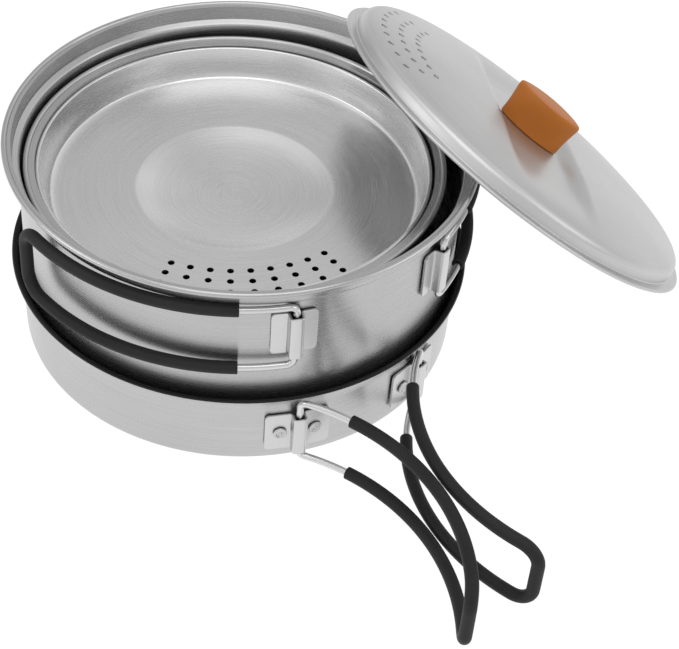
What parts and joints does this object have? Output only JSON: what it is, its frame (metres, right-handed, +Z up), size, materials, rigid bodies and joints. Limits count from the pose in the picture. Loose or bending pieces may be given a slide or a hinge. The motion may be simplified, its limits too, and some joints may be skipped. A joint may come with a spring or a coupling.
{
  "type": "cooking pot set",
  "caption": "Nesting camp cookware: frying pan, large pot, medium pot, strainer dish and leaning knob lid, with folding wire handles in silicone sleeves.",
  "frame": {"origin": "centre of the frying pan's flat base, on the ground", "axes": "+Z up; +X along the middle direction of the two unfolded pan handles"},
  "size_m": [0.311, 0.3101, 0.1197],
  "materials": {
    "steel": "satin stainless steel, turned brushing",
    "bright_steel": "bright stainless wire and pressed sheet",
    "silicone": "matte black silicone tube",
    "knob": "matte orange plastic",
    "nonstick": "black non-stick coating on the pan's inside, part of the pan body"
  },
  "bodies": {
    "pan": {"pan_body": "steel", "pan_bracket_left": "bright_steel", "pan_bracket_right": "bright_steel", "pan_rivet_1": "bright_steel", "pan_rivet_2": "bright_steel", "pan_rivet_3": "bright_steel", "pan_rivet_4": "bright_steel"},
    "pan_handle_left": {"pan_handle_wire_left": "bright_steel", "pan_handle_sleeve_left": "silicone"},
    "pan_handle_right": {"pan_handle_wire_right": "bright_steel", "pan_handle_sleeve_right": "silicone"},
    "large_pot": {"pot_body": "steel", "pot_bracket_left": "bright_steel", "pot_bracket_right": "bright_steel"},
    "pot_handle_left": {"pot_handle_wire_left": "bright_steel", "pot_handle_sleeve_left": "silicone"},
    "pot_handle_right": {"pot_handle_wire_right": "bright_steel", "pot_handle_sleeve_right": "silicone"},
    "medium_pot": {"medium_pot_body": "steel", "medium_pot_bracket_left": "bright_steel", "medium_pot_bracket_right": "bright_steel"},
    "medium_handle_left": {"medium_pot_handle_wire_left": "bright_steel", "medium_pot_handle_sleeve_left": "silicone"},
    "medium_handle_right": {"medium_pot_handle_wire_right": "bright_steel", "medium_pot_handle_sleeve_right": "silicone"},
    "strainer": {"strainer_lid": "steel"},
    "large_lid": {"lid_shell": "steel", "lid_knob": "knob", "lid_knob_screw": "bright_steel", "lid_knob_washer": "bright_steel"}
  },
  "joints": [
    {"name": "pan_handle_left_fold", "type": "hinge", "parent": "pan", "child": "pan_handle_left", "pos_m": [0.09403, -0.03001, 0.0213], "axis": [0, 0, 1], "range_deg": [-140, 0]},
    {"name": "pan_handle_right_fold", "type": "hinge", "parent": "pan", "child": "pan_handle_right", "pos_m": [0.09403, 0.03001, 0.0213], "axis": [0, 0, 1], "range_deg": [0, 140]},
    {"name": "large_pot_lift", "type": "slide", "parent": "pan", "child": "large_pot", "axis": [0, 0, 1], "range_m": [0, 0.06]},
    {"name": "pot_handle_left_open", "type": "hinge", "parent": "large_pot", "child": "pot_handle_left", "pos_m": [0.09129, -0.0325, 0.0731], "axis": [0, 0, 1], "range_deg": [0, 140]},
    {"name": "pot_handle_right_open", "type": "hinge", "parent": "large_pot", "child": "pot_handle_right", "pos_m": [0.08832, 0.03988, 0.0731], "axis": [0, 0, 1], "range_deg": [-6, 0]},
    {"name": "medium_pot_lift", "type": "slide", "parent": "large_pot", "child": "medium_pot", "axis": [0, 0, 1], "range_m": [0, 0.1]},
    {"name": "medium_handle_left_open", "type": "hinge", "parent": "medium_pot", "child": "medium_handle_left", "pos_m": [0.07684, 0.03095, 0.06], "axis": [0, 0, 1], "range_deg": [0, 0.7]},
    {"name": "medium_handle_right_open", "type": "hinge", "parent": "medium_pot", "child": "medium_handle_right", "pos_m": [0.03175, 0.07604, 0.06], "axis": [0, 0, 1], "range_deg": [-1.3, 0]},
    {"name": "strainer_lift", "type": "slide", "parent": "medium_pot", "child": "strainer", "axis": [0, 0, 1], "range_m": [0, 0.03]},
    {"name": "lid_away", "type": "slide", "parent": "strainer", "child": "large_lid", "axis": [0.1154, 0.5991, 0.7923], "range_m": [0, 0.1]}
  ]
}
